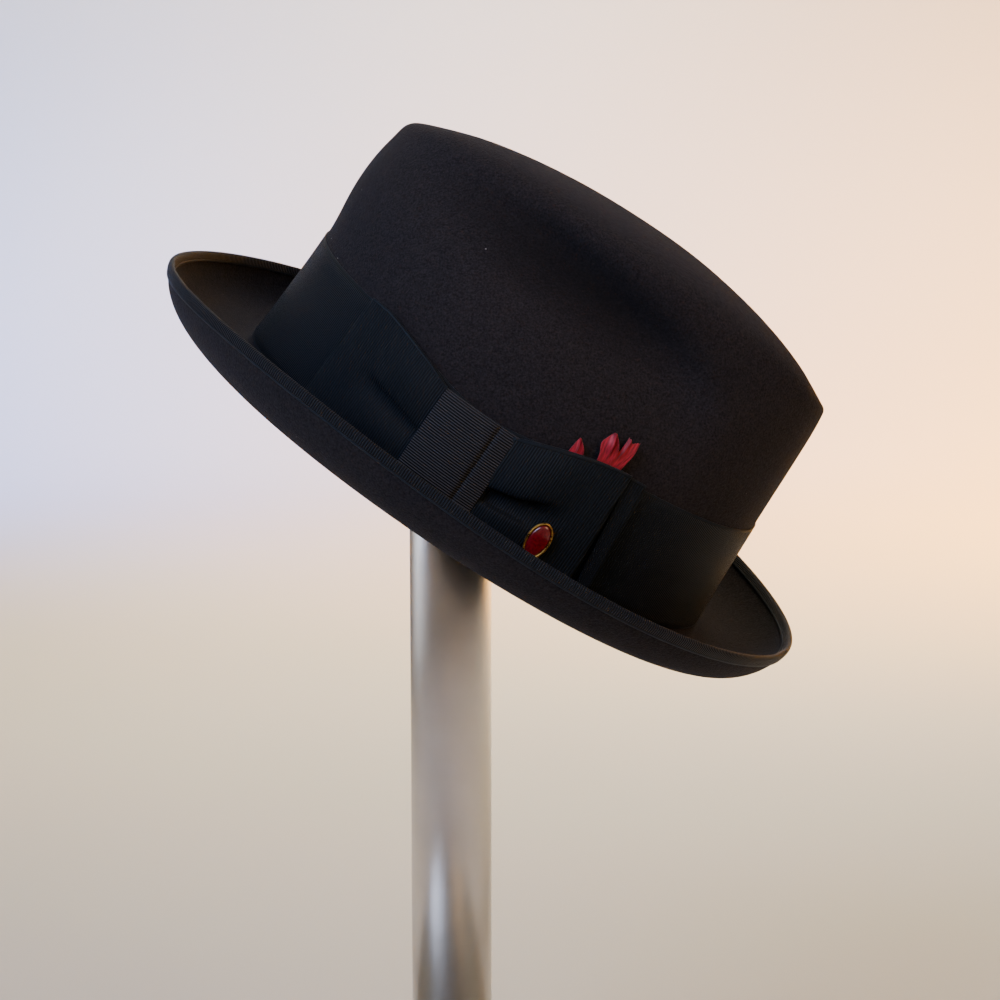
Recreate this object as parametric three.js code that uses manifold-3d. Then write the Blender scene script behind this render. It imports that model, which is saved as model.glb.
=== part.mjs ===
// A dark felt fedora with a wide ribbon and a flat bow, held up on a plain chrome display stand.
// Millimetres, +Z up. The origin is on the floor, under the middle of the stand's foot.
// The hat has a frame of its own: its origin is the middle of the brim break, +X is the front of the
// crown, +Y is the side away from the bow and +Z goes up the crown. The stand holds it tipped forward.
import * as THREE from 'three';
import { mergeVertices } from 'three/addons/utils/BufferGeometryUtils.js';
import Module from 'manifold-3d';

// Felt body.
const FELT_WALL = 1.8;
const CROWN_LENGTH = 206;
const CROWN_WIDTH = 168;
const CROWN_HEIGHT = 121.5;
const BRIM_LENGTH = 277.5;
const BRIM_WIDTH = 248.5;
const BRIM_BACK_SHIFT = 2.7;
const BRIM_EDGE_HEIGHT = 17.2;
const BREAK_RADIUS = 4.5;
const TOP_DENT_DEPTH = 30;
const SIDE_DENT_DEPTH = 14;
const SIDE_DENT_LIP = 7.5;
const SIDE_DENT_FALL = 19;
const DENT_BACK = 6;
// How far the hand-set crown leans from the bow's side, as a rise over a run across its top.
const TOP_LEAN = 0.225;
const SHOULDER_LEAN = 0.04;

// Ribbon, edge binding and bow.
const RIBBON_WALL = 0.7;
const RIBBON_TOP = 48;
const RIBBON_CLEAR = 1.4;
const BINDING_WIDTH = 4.0;
const BINDING_WALL = 0.6;
const SEWN_GAP = 0.35;
const KNOT_WIDTH = 30;
const KNOT_TOP = 40.5;
const KNOT_DEPTH = 4.6;
const BACK_WING_LENGTH = 41;
const FRONT_WING_LENGTH = 38;
const FRONT_WING_SLANT = 4;
const TAIL_SHOW = 7;
const TAIL_SLANT = 5;
const WING_DEPTH = 1.5;
const WING_PUFF = 1.6;
const WING_RISE = 1.6;
const BOW_MIDDLE = 3;
const BOW_DROP = 1.7;

// Feather tips and pin.
const FEATHER_WALL = 0.6;
const FEATHER_WIDTH = 5.5;
const PIN_LENGTH = 15;
const PIN_WIDTH = 9.5;
const PIN_WALL = 1.4;
const PIN_RIM = 1.1;

// Stand.
const HAT_HEIGHT = 290;
const HAT_TILT = THREE.MathUtils.degToRad(34.1);
const HAT_FORWARD = 9;
const FOOT_DIAMETER = 180;
const FOOT_HEIGHT = 10;
const FOOT_EDGE = 3;
const FOOT_CHAMFER = 1;
const POST_DIAMETER = 32;
const HEAD_LENGTH = 100;
const HEAD_WIDTH = 60;
const HEAD_WALL = 3;
const HEAD_BEHIND = 20;
const SEAT_GAP = 0.3;

// How finely the round shapes are divided.
const TURNS = 60;
const POST_SIDES = 40;

const HALF_LENGTH = CROWN_LENGTH / 2;
const HALF_WIDTH = CROWN_WIDTH / 2;

// The crown's wall: each row is a level, as shares of the crown's height, half length and half width.
// nose is how much the wall narrows towards the front.
const WALL = [
  { level: -0.08, front: 1.012, back: 1.0, side: 1.01, nose: 0 },
  { level: 0.0, front: 1.0, back: 0.985, side: 1.0, nose: 0 },
  { level: 0.2, front: 0.982, back: 0.965, side: 0.985, nose: 0 },
  { level: 0.41, front: 0.965, back: 0.949, side: 0.968, nose: 0.02 },
  { level: 0.56, front: 0.956, back: 0.965, side: 0.95, nose: 0.06 },
  { level: 0.68, front: 0.948, back: 0.959, side: 0.916, nose: 0.11 },
  { level: 0.78, front: 0.938, back: 0.935, side: 0.86, nose: 0.16 },
  { level: 0.85, front: 0.92, back: 0.92, side: 0.8, nose: 0.19 },
  { level: 0.92, front: 0.895, back: 0.9, side: 0.74, nose: 0.2 },
];

// The rolled rim of the crown's top. turn is the angle round from the front, shoulder is the level
// where the wall starts to roll over, and the rest is the ridge: its place along and across, and its level.
const RIM = [
  { turn: 0, shoulder: 0.80, along: 0.884, across: 0.0, ridge: 0.832 },
  { turn: 15, shoulder: 0.81, along: 0.848, across: 0.1, ridge: 0.862 },
  { turn: 30, shoulder: 0.83, along: 0.75, across: 0.17, ridge: 0.91 },
  { turn: 48, shoulder: 0.855, along: 0.565, across: 0.215, ridge: 0.959 },
  { turn: 70, shoulder: 0.87, along: 0.29, across: 0.24, ridge: 0.994 },
  { turn: 90, shoulder: 0.878, along: 0.0, across: 0.25, ridge: 0.997 },
  { turn: 112, shoulder: 0.872, along: -0.3, across: 0.26, ridge: 0.978 },
  { turn: 135, shoulder: 0.845, along: -0.56, across: 0.28, ridge: 0.937 },
  { turn: 155, shoulder: 0.805, along: -0.755, across: 0.25, ridge: 0.878 },
  { turn: 170, shoulder: 0.775, along: -0.82, across: 0.13, ridge: 0.852 },
  { turn: 180, shoulder: 0.768, along: -0.835, across: 0.0, ridge: 0.845 },
];

// The valley of the dent in each side of the crown: its place along, its level and its depth share.
const VALLEY = [
  { along: -0.78, level: 0.745, depth: 0 },
  { along: -0.6, level: 0.775, depth: 0.25 },
  { along: -0.35, level: 0.815, depth: 0.6 },
  { along: -0.1, level: 0.81, depth: 0.95 },
  { along: 0.1, level: 0.79, depth: 1 },
  { along: 0.3, level: 0.76, depth: 0.95 },
  { along: 0.46, level: 0.725, depth: 0.7 },
  { along: 0.57, level: 0.665, depth: 0.4 },
  { along: 0.68, level: 0.6, depth: 0 },
];

// How the brim break and the brim's edge rise and fall, as shares of the edge's height: their level, a tip
// from back to front, a lift at the sides, and a last wave that snaps the front down.
const BREAK_WAVE = { level: -0.07, tip: 0.116, side: -0.127, snap: 0 };
const EDGE_WAVE = { level: 1, tip: 0.21, side: -0.21, snap: 0.1 };

// The brim's section. flat and curl are shares of its width, out to the flat's end and to the hardest
// curl. rise and the two dips are shares of its height, the second dip for the sides only.
const BRIM_SECTION = { flat: 0.66, curl: 0.93, rise: 0.32, dip: 0.02, sideDip: 0.2 };

// The feather tips. middle and lean are shares of the front wing's length, out from the knot, bottom and
// top are shares of the ribbon's top, width is a share of the widest tip, and point is where it narrows.
const FEATHERS = [
  { name: 'feather_small', middle: 0.474, lean: -0.047, width: 1, bottom: 0.75, top: 1.092, point: 0.72 },
  { name: 'feather_leaf', middle: 0.658, lean: -0.026, width: 0.8, bottom: 0.79, top: 1.26, point: 0.6 },
  { name: 'feather_frayed', middle: 0.779, lean: 0.021, width: 0.73, bottom: 0.81, top: 1.27, point: 0.9 },
];

// The pin's place on the front wing, as shares of the wing's length and of the ribbon's top.
const PIN_PLACE = { along: 0.605, level: 0.3125 };

// The enamel drop, from its top to its foot: inset is a share of the rim's width, lift of the pin's wall.
const DROP = [
  { inset: 1.45, lift: 1.35 },
  { inset: 0.45, lift: 1.18 },
  { inset: 0, lift: 0.92 },
];
const DROP_TOP = 1.42;

const FELT_COLOUR = 0x231f20;
const RIBBON_COLOUR = 0x0d1013;
const KNOT_COLOUR = 0x15171a;
const FEATHER_COLOUR = 0xa81c34;
const GILT_COLOUR = 0xc9a24b;
const ENAMEL_COLOUR = 0x7a0f1c;
const CHROME_COLOUR = 0xc9c6c0;

// Reads a smooth curve through a table's rows: key is the column to enter by, name the one to read.
function read(table, key, value, name) {
  const last = table.length - 1;
  let row = 0;
  while (row < last - 1 && value > table[row + 1][key]) row += 1;
  const span = table[row + 1][key] - table[row][key];
  const share = THREE.MathUtils.clamp((value - table[row][key]) / span, 0, 1);
  const slope = (at) => {
    const before = table[Math.max(at - 1, 0)];
    const after = table[Math.min(at + 1, last)];
    return (after[name] - before[name]) / (after[key] - before[key]);
  };
  const s2 = share * share;
  const s3 = s2 * share;
  return (2 * s3 - 3 * s2 + 1) * table[row][name] + (s3 - 2 * s2 + share) * span * slope(row)
    + (3 * s2 - 2 * s3) * table[row + 1][name] + (s3 - s2) * span * slope(row + 1);
}

// How far the side dent presses the wall in at a place along the crown and a height.
function sideDent(x, z) {
  const along = THREE.MathUtils.clamp(x / HALF_LENGTH, VALLEY[0].along, VALLEY.at(-1).along);
  const above = z - CROWN_HEIGHT * read(VALLEY, 'along', along, 'level');
  const reach = above > 0 ? SIDE_DENT_LIP : SIDE_DENT_FALL;
  const share = Math.max(0, read(VALLEY, 'along', along, 'depth'));
  return SIDE_DENT_DEPTH * share * Math.exp(-((above / reach) ** 2));
}

// A point on the outside of the crown's wall. turn is 0 at the front and grows towards +Y.
function wallPoint(turn, z) {
  const level = z / CROWN_HEIGHT;
  const c = Math.cos(turn);
  const s = Math.sin(turn);
  const front = read(WALL, 'level', level, 'front');
  const back = read(WALL, 'level', level, 'back');
  const length = HALF_LENGTH * ((front + back) / 2 + (front - back) / 2 * c);
  const nose = 1 - read(WALL, 'level', level, 'nose') * ((1 + c) / 2) ** 2;
  const x = length * c;
  const y = HALF_WIDTH * read(WALL, 'level', level, 'side') * nose * s;
  return new THREE.Vector3(x, y - Math.sign(s) * Math.min(Math.abs(y), sideDent(x, z)), z);
}

// The angle round from the front, 0 to 180 degrees on either side.
function turnDegrees(turn) {
  return THREE.MathUtils.radToDeg(Math.acos(Math.cos(turn)));
}

function shoulderHeight(turn) {
  const level = read(RIM, 'turn', turnDegrees(turn), 'shoulder');
  const lean = SHOULDER_LEAN * HALF_WIDTH * Math.max(0, Math.sin(turn));
  return CROWN_HEIGHT * level - lean;
}

function ridgePoint(turn) {
  const degrees = turnDegrees(turn);
  const across = HALF_WIDTH * read(RIM, 'turn', degrees, 'across');
  const y = Math.sign(Math.sin(turn)) * across;
  const z = CROWN_HEIGHT * read(RIM, 'turn', degrees, 'ridge') - TOP_LEAN * (y + across);
  return new THREE.Vector3(HALF_LENGTH * read(RIM, 'turn', degrees, 'along'), y, z);
}

// The line where the crown turns out into the brim: low at the back, high at the sides.
function breakHeight(turn) {
  return wave(BREAK_WAVE, turn);
}

function wave({ level, tip, side, snap }, turn) {
  const share = level + tip * Math.cos(turn) + side * Math.cos(2 * turn) + snap * Math.cos(3 * turn);
  return BRIM_EDGE_HEIGHT * share;
}

function brimEdge(turn) {
  const x = BRIM_LENGTH / 2 * Math.cos(turn) - BRIM_BACK_SHIFT;
  const y = BRIM_WIDTH / 2 * Math.sin(turn);
  return new THREE.Vector3(x, y, wave(EDGE_WAVE, turn));
}

function bezier(points, t) {
  const curve = new THREE.CubicBezierCurve3(...points);
  return curve.getPoint(t);
}

// One line down the outside of the felt, from the top dent's rim to the brim's edge.
const DENT_STEPS = [0.22, 0.45, 0.66, 0.84];
const ROLL_STEPS = [0, 0.28, 0.55, 0.78];
const WALL_STEPS = [0, 0.1, 0.2, 0.3, 0.41, 0.53, 0.66, 0.8];
const BRIM_STEPS = [0.16, 0.36, 0.55, 0.72, 0.87, 1];

function dentBottom() {
  return new THREE.Vector3(-DENT_BACK, 0, CROWN_HEIGHT - TOP_DENT_DEPTH);
}

function feltLine(turn) {
  const line = [];
  const bottom = dentBottom();
  const ridge = ridgePoint(turn);
  for (const step of DENT_STEPS) {
    const rise = THREE.MathUtils.smootherstep(step ** 1.15, 0, 1);
    const point = bottom.clone().lerp(ridge, step);
    point.z = THREE.MathUtils.lerp(bottom.z, ridge.z, rise);
    line.push(point);
  }
  const top = shoulderHeight(turn);
  const shoulder = wallPoint(turn, top);
  const lift = ridge.z - top;
  const out = shoulder.clone().setZ(ridge.z - 0.2 * lift);
  const roll = [
    ridge,
    ridge.clone().lerp(out, 0.55),
    shoulder.clone().setZ(top + 0.65 * lift),
    shoulder,
  ];
  for (const step of ROLL_STEPS) line.push(bezier(roll, step));
  for (const step of WALL_STEPS) line.push(wallPoint(turn, THREE.MathUtils.lerp(top, RIBBON_TOP, step)));
  line.push(wallPoint(turn, RIBBON_TOP));
  const foot = breakHeight(turn);
  const middle = (RIBBON_TOP + foot + BREAK_RADIUS) / 2;
  line.push(wallPoint(turn, middle));
  const start = wallPoint(turn, foot + BREAK_RADIUS);
  line.push(start);
  const edge = brimEdge(turn);
  const outward = new THREE.Vector3(edge.x - start.x, edge.y - start.y, 0);
  const width = outward.length();
  outward.normalize();
  line.push(start.clone().addScaledVector(outward, 0.3 * BREAK_RADIUS).setZ(foot + 0.3 * BREAK_RADIUS));
  const root = start.clone().addScaledVector(outward, BREAK_RADIUS).setZ(foot);
  line.push(root);
  const rise = edge.z - foot;
  const dip = BRIM_SECTION.dip + BRIM_SECTION.sideDip * Math.abs(Math.sin(turn));
  const flat = start.clone().addScaledVector(outward, BRIM_SECTION.flat * width);
  const curl = start.clone().addScaledVector(outward, BRIM_SECTION.curl * width);
  const brim = [root, flat.setZ(foot - dip * rise), curl.setZ(foot + (BRIM_SECTION.rise - dip) * rise), edge];
  for (const step of BRIM_STEPS) line.push(bezier(brim, step));
  return line;
}

// Lines round the felt, as rings of points from the dent's rim out to the brim's edge.
function feltRings() {
  const rings = [];
  for (let k = 0; k < TURNS; k += 1) {
    feltLine(k / TURNS * 2 * Math.PI).forEach((point, row) => {
      rings[row] = rings[row] || [];
      rings[row].push(point);
    });
  }
  return rings;
}

// The outward direction at a point of a set of rings that run from the top down and out.
function ringNormal(rings, row, k) {
  const ring = rings[row];
  const around = ring[(k + 1) % ring.length].clone().sub(ring[(k + ring.length - 1) % ring.length]);
  const above = rings[Math.max(row - 1, 0)][k];
  const below = rings[Math.min(row + 1, rings.length - 1)][k];
  return below.clone().sub(above).cross(around).normalize();
}

// Closed rings of points, joined into a skin. Each ring has as many points as the first.
function ringSkin(rings, { startPole, endPole, loop } = {}) {
  const points = rings.flat();
  const count = rings[0].length;
  const faces = [];
  const last = loop ? rings.length : rings.length - 1;
  for (let row = 0; row < last; row += 1) {
    const next = (row + 1) % rings.length;
    for (let k = 0; k < count; k += 1) {
      const a = row * count + k;
      const b = row * count + (k + 1) % count;
      const c = next * count + (k + 1) % count;
      const d = next * count + k;
      faces.push(a, d, c, a, c, b);
    }
  }
  for (const [pole, ring, flip] of [[startPole, 0, false], [endPole, rings.length - 1, true]]) {
    if (!pole) continue;
    const tip = points.push(pole) - 1;
    for (let k = 0; k < count; k += 1) {
      const a = ring * count + k;
      const b = ring * count + (k + 1) % count;
      faces.push(...(flip ? [tip, b, a] : [tip, a, b]));
    }
  }
  return skin(points, faces);
}

function skin(points, faces) {
  const geometry = new THREE.BufferGeometry();
  geometry.setAttribute('position', new THREE.Float32BufferAttribute(points.flatMap((p) => p.toArray()), 3));
  geometry.setIndex(faces);
  return geometry;
}

const FELT_RINGS = feltRings();

// The felt cap: crown and brim in one piece, hollow, the same thickness all over.
function feltGeometry() {
  const inner = FELT_RINGS.map((ring, row) => ring.map((point, k) => (
    point.clone().addScaledVector(ringNormal(FELT_RINGS, row, k), -FELT_WALL)
  )));
  const bottom = dentBottom();
  const under = bottom.clone().setZ(bottom.z - FELT_WALL);
  return ringSkin([...FELT_RINGS, ...inner.reverse()], { startPole: bottom, endPole: under });
}

// The ribbon sewn over the brim's edge: a U round the felt, the same width above and below.
function bindingGeometry() {
  const last = FELT_RINGS.length - 1;
  const inside = FELT_WALL / 2 + SEWN_GAP;
  const outside = inside + BINDING_WALL;
  const tip = SEWN_GAP + BINDING_WALL;
  const section = [
    [-BINDING_WIDTH, outside], [-BINDING_WIDTH / 2, outside], [0, outside], [tip, 0.7 * outside],
    [tip, -0.7 * outside], [0, -outside], [-BINDING_WIDTH / 2, -outside], [-BINDING_WIDTH, -outside],
    [-BINDING_WIDTH, -inside], [-BINDING_WIDTH / 2, -inside], [SEWN_GAP, -inside],
    [SEWN_GAP, inside], [-BINDING_WIDTH / 2, inside], [-BINDING_WIDTH, inside],
  ];
  const rings = section.map(() => []);
  for (let k = 0; k < TURNS; k += 1) {
    const frame = edgeFrame(last, k);
    section.forEach(([out, up], at) => rings[at].push(frame(out, up)));
  }
  return ringSkin(rings, { loop: true });
}

// Places a point by its distance out from the felt's edge and up from the middle of its wall. Inward
// distances follow the felt's own curve.
function edgeFrame(last, k) {
  const normal = (row) => ringNormal(FELT_RINGS, row, k);
  const middle = (row) => FELT_RINGS[row][k].clone().addScaledVector(normal(row), -FELT_WALL / 2);
  const edge = middle(last);
  const before = middle(last - 1);
  const run = edge.distanceTo(before);
  const out = edge.clone().sub(before).normalize();
  return (distance, up) => {
    if (distance >= 0) return edge.clone().addScaledVector(out, distance).addScaledVector(normal(last), up);
    const share = Math.min(1, -distance / run);
    const turned = normal(last).lerp(normal(last - 1), share).normalize();
    return edge.clone().lerp(before, share).addScaledVector(turned, up);
  };
}

// A point at a distance outside the crown's wall, on the bow's side, by its place along and its height.
function onWall(x, z, lift) {
  const length = (x > 0 ? wallPoint(0, z).x : -wallPoint(Math.PI, z).x);
  const turn = -Math.acos(THREE.MathUtils.clamp(x / length, -1, 1));
  return liftWall(turn, z, lift);
}

function liftWall(turn, z, lift) {
  const small = 0.01;
  const point = wallPoint(turn, z);
  const around = wallPoint(turn + small, z).sub(wallPoint(turn - small, z));
  const up = wallPoint(turn, z + 1).sub(wallPoint(turn, z - 1));
  return point.addScaledVector(around.cross(up).normalize(), lift);
}

// The ribbon round the crown. It is drawn down where the knot grips it.
function ribbonTop(x) {
  const pull = Math.exp(-(((x - BOW_MIDDLE) / (0.75 * BACK_WING_LENGTH)) ** 2));
  return RIBBON_TOP - (RIBBON_TOP - KNOT_TOP) * pull;
}

function ribbonFoot(turn) {
  return breakHeight(turn) + BREAK_RADIUS + RIBBON_CLEAR;
}

function bandGeometry() {
  const levels = [0, 0.33, 0.66, 1];
  const rings = [];
  const layers = [
    ...levels.map((level) => ({ level, lift: SEWN_GAP })),
    ...levels.map((level) => ({ level, lift: SEWN_GAP + RIBBON_WALL })).reverse(),
  ];
  for (const { level, lift } of layers) {
    const ring = [];
    for (let k = 0; k < TURNS; k += 1) {
      const turn = k / TURNS * 2 * Math.PI;
      const top = Math.sin(turn) < 0 ? ribbonTop(wallPoint(turn, RIBBON_TOP).x) : RIBBON_TOP;
      ring.push(liftWall(turn, THREE.MathUtils.lerp(ribbonFoot(turn), top, level), lift));
    }
    rings.push(ring);
  }
  return ringSkin(rings, { loop: true });
}

// A closed slab made of two grids that face each other. point(u, v, side) gives its corners, with side
// 0 on the crown and 1 outside, u along and v up.
function slab(columns, rows, point) {
  const points = [];
  const faces = [];
  const at = (side, i, j) => side * (columns + 1) * (rows + 1) + i * (rows + 1) + j;
  for (const side of [0, 1]) {
    for (let i = 0; i <= columns; i += 1) {
      for (let j = 0; j <= rows; j += 1) points.push(point(i / columns, j / rows, side));
    }
  }
  const quad = (a, b, c, d) => faces.push(a, b, c, a, c, d);
  for (let i = 0; i < columns; i += 1) {
    for (let j = 0; j < rows; j += 1) {
      quad(at(1, i, j), at(1, i + 1, j), at(1, i + 1, j + 1), at(1, i, j + 1));
      quad(at(0, i, j), at(0, i, j + 1), at(0, i + 1, j + 1), at(0, i + 1, j));
    }
    quad(at(0, i, 0), at(0, i + 1, 0), at(1, i + 1, 0), at(1, i, 0));
    quad(at(1, i, rows), at(1, i + 1, rows), at(0, i + 1, rows), at(0, i, rows));
  }
  for (let j = 0; j < rows; j += 1) {
    quad(at(0, 0, j), at(1, 0, j), at(1, 0, j + 1), at(0, 0, j + 1));
    quad(at(0, columns, j), at(0, columns, j + 1), at(1, columns, j + 1), at(1, columns, j));
  }
  return skin(points, faces);
}

const BAND_FACE = SEWN_GAP + RIBBON_WALL;
const TAIL_SEAT = BAND_FACE + SEWN_GAP;
const WING_SEAT = TAIL_SEAT + RIBBON_WALL + SEWN_GAP;
const BOW_FOOT = ribbonFoot(-Math.PI / 2) - BOW_DROP;
const KNOT_FRONT = BOW_MIDDLE + KNOT_WIDTH / 2;

// How far a wing's lobes stand out: flat at its folded end, and highest at the knot.
function lobeHeight(fromKnot) {
  return WING_PUFF * (1 - fromKnot) ** 1.3;
}

// The outer face of a wing: two lobes with a crease between them.
function wingFace(fromKnot, up) {
  const lobes = Math.abs(Math.sin(2 * Math.PI * up)) ** 0.7;
  return WING_SEAT + WING_DEPTH + lobeHeight(fromKnot) * lobes;
}

// A wing of the bow, from the knot out to its folded end. way is -1 towards the back, 1 to the front.
function wingGeometry(way, length, slant) {
  const near = BOW_MIDDLE + way * (KNOT_WIDTH / 2 + SEWN_GAP);
  const point = (u, v, side) => {
    const fromKnot = way > 0 ? u : 1 - u;
    const x = near + way * fromKnot * (length - slant * v);
    const top = THREE.MathUtils.lerp(KNOT_TOP, RIBBON_TOP + WING_RISE, Math.sin(fromKnot * Math.PI / 2));
    const z = THREE.MathUtils.lerp(BOW_FOOT, top, v);
    return onWall(x, z, side ? wingFace(fromKnot, v) : WING_SEAT);
  };
  return slab(8, 8, point);
}

// The end of the ribbon that lies under the front wing and shows past its fold. It narrows upwards,
// which leaves the feathers their room.
function tailGeometry() {
  const reach = KNOT_FRONT + FRONT_WING_LENGTH + TAIL_SHOW;
  return slab(3, 5, (u, v, side) => {
    const x = reach - TAIL_SLANT * v - (1 - u) * TAIL_SHOW * THREE.MathUtils.lerp(2, 0.95, v);
    const z = THREE.MathUtils.lerp(BOW_FOOT, RIBBON_TOP - SEWN_GAP, v);
    return onWall(x, z, TAIL_SEAT + side * RIBBON_WALL);
  });
}

// The strip that grips the middle of the bow. It bulges over the gathers.
function knotGeometry() {
  return slab(6, 6, (u, v, side) => {
    const x = BOW_MIDDLE + KNOT_WIDTH * (u - 0.5);
    const bulge = KNOT_DEPTH * (0.75 + 0.25 * Math.sin(Math.PI * u)) * (0.85 + 0.15 * Math.sin(Math.PI * v));
    return onWall(x, THREE.MathUtils.lerp(BOW_FOOT, KNOT_TOP, v), TAIL_SEAT + side * bulge);
  });
}

// A feather tip: a thin leaf that stands between the ribbon and the wing and shows over its edge.
function featherGeometry({ middle, lean, width, bottom, top, point }) {
  return slab(3, 6, (u, v, side) => {
    const narrow = v < point ? 1 : Math.sqrt(Math.max(0.02, 1 - ((v - point) / (1 - point)) ** 2));
    const across = FEATHER_WIDTH * width * narrow * (u - 0.5);
    const x = KNOT_FRONT + FRONT_WING_LENGTH * (middle + lean * v) + across;
    return onWall(x, RIBBON_TOP * THREE.MathUtils.lerp(bottom, top, v), TAIL_SEAT + side * FEATHER_WALL);
  });
}

// The pin's face: a flat oval frame on the front wing, clear of the wing's highest lobe under it.
const PIN_SIDES = 24;
const PIN_FROM_KNOT = PIN_PLACE.along - PIN_WIDTH / 2 / FRONT_WING_LENGTH;
const PIN_SEAT = WING_SEAT + WING_DEPTH + lobeHeight(PIN_FROM_KNOT) + SEWN_GAP;

function pinFrame() {
  const x = KNOT_FRONT + FRONT_WING_LENGTH * PIN_PLACE.along;
  const z = RIBBON_TOP * PIN_PLACE.level;
  const foot = onWall(x, z, 0);
  const out = onWall(x, z, 1).sub(foot).normalize();
  const up = new THREE.Vector3(0, 0, 1).addScaledVector(out, -out.z).normalize();
  const along = up.clone().cross(out).normalize();
  return new THREE.Matrix4().makeBasis(along, up, out).setPosition(foot.addScaledVector(out, PIN_SEAT));
}

function pinRing(inset, lift) {
  const ring = [];
  for (let k = 0; k < PIN_SIDES; k += 1) {
    const angle = k / PIN_SIDES * 2 * Math.PI;
    const x = (PIN_WIDTH / 2 - inset) * Math.cos(angle);
    ring.push(new THREE.Vector3(x, (PIN_LENGTH / 2 - inset) * Math.sin(angle), lift));
  }
  return ring;
}

// The gilt setting: a shallow oval dish with a raised rim.
function pinRimGeometry() {
  const floor = 0.45 * PIN_WALL;
  const rings = [
    pinRing(PIN_RIM, floor), pinRing(PIN_RIM, PIN_WALL),
    pinRing(0.3 * PIN_RIM, PIN_WALL), pinRing(0, 0.6 * PIN_WALL), pinRing(0, 0),
  ];
  const poles = { startPole: new THREE.Vector3(0, 0, floor), endPole: new THREE.Vector3() };
  return ringSkin(rings, poles);
}

// The domed drop of enamel that fills the dish.
function pinEnamelGeometry() {
  const floor = 0.45 * PIN_WALL + 0.5 * SEAT_GAP;
  const inset = PIN_RIM + 0.5 * SEAT_GAP;
  const rings = DROP.map((row) => pinRing(inset + PIN_RIM * row.inset, PIN_WALL * row.lift));
  rings.push(pinRing(inset, floor));
  const startPole = new THREE.Vector3(0, 0, DROP_TOP * PIN_WALL);
  return ringSkin(rings, { startPole, endPole: new THREE.Vector3(0, 0, floor) });
}

const wasm = await Module();
wasm.setup();

function toSolid(geometry) {
  const bare = geometry.clone();
  bare.deleteAttribute('normal');
  bare.deleteAttribute('uv');
  const merged = mergeVertices(bare, 1e-4);
  return new wasm.Manifold(new wasm.Mesh({
    numProp: 3,
    vertProperties: merged.attributes.position.array,
    triVerts: new Uint32Array(merged.index.array),
  }));
}

function toGeometry(solid) {
  const mesh = solid.getMesh();
  const geometry = new THREE.BufferGeometry();
  geometry.setAttribute('position', new THREE.BufferAttribute(new Float32Array(mesh.vertProperties), 3));
  geometry.setIndex(new THREE.BufferAttribute(new Uint32Array(mesh.triVerts), 1));
  return geometry;
}

// Where the hat sits: its frame, seen from the stand's.
const HAT_PLACE = new THREE.Matrix4().makeRotationY(HAT_TILT).setPosition(HAT_FORWARD, 0, HAT_HEIGHT);
const SEAT_LEVEL = CROWN_HEIGHT - TOP_DENT_DEPTH - FELT_WALL - SEAT_GAP;

// The stand's foot: a flat weighted disc with an eased edge.
function footGeometry() {
  const radius = FOOT_DIAMETER / 2;
  const profile = [
    [0, 0], [radius - FOOT_CHAMFER, 0], [radius, FOOT_CHAMFER], [radius, FOOT_HEIGHT - FOOT_EDGE],
    [radius - 0.3 * FOOT_EDGE, FOOT_HEIGHT - 0.3 * FOOT_EDGE], [radius - FOOT_EDGE, FOOT_HEIGHT],
    [0, FOOT_HEIGHT],
  ];
  const lathe = new THREE.LatheGeometry(profile.map(([x, y]) => new THREE.Vector2(x, y)), POST_SIDES);
  return lathe.rotateX(Math.PI / 2);
}

// The post, cut on the slant, with the oval plate welded on that carries the crown from inside.
function postGeometry() {
  const base = FOOT_HEIGHT + SEAT_GAP;
  const tall = HAT_HEIGHT + CROWN_HEIGHT - base;
  const post = new THREE.CylinderGeometry(POST_DIAMETER / 2, POST_DIAMETER / 2, tall, POST_SIDES);
  post.rotateX(Math.PI / 2).translate(0, 0, base + tall / 2);
  const level = SEAT_LEVEL - HEAD_WALL;
  const run = (level + HAT_FORWARD * Math.sin(HAT_TILT)) / Math.cos(HAT_TILT);
  const postAlong = -HAT_FORWARD * Math.cos(HAT_TILT) - run * Math.sin(HAT_TILT);
  const headAlong = postAlong + HEAD_LENGTH / 2 - HEAD_BEHIND;
  const plate = new THREE.CylinderGeometry(HEAD_LENGTH / 2, HEAD_LENGTH / 2, HEAD_WALL, POST_SIDES);
  plate.rotateX(Math.PI / 2).scale(1, HEAD_WIDTH / HEAD_LENGTH, 1);
  plate.translate(headAlong, 0, level + HEAD_WALL / 2);
  const cutter = new THREE.BoxGeometry(2 * CROWN_LENGTH, CROWN_WIDTH, CROWN_LENGTH);
  cutter.translate(0, 0, level + HEAD_WALL / 2 + CROWN_LENGTH / 2);
  const cut = toSolid(post).subtract(toSolid(cutter.applyMatrix4(HAT_PLACE)));
  return toGeometry(cut.add(toSolid(plate.applyMatrix4(HAT_PLACE))));
}

function piece(name, geometry, color, roughness, metalness = 0) {
  const mesh = new THREE.Mesh(geometry, new THREE.MeshStandardMaterial({ color, roughness, metalness }));
  mesh.name = name;
  return mesh;
}

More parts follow.
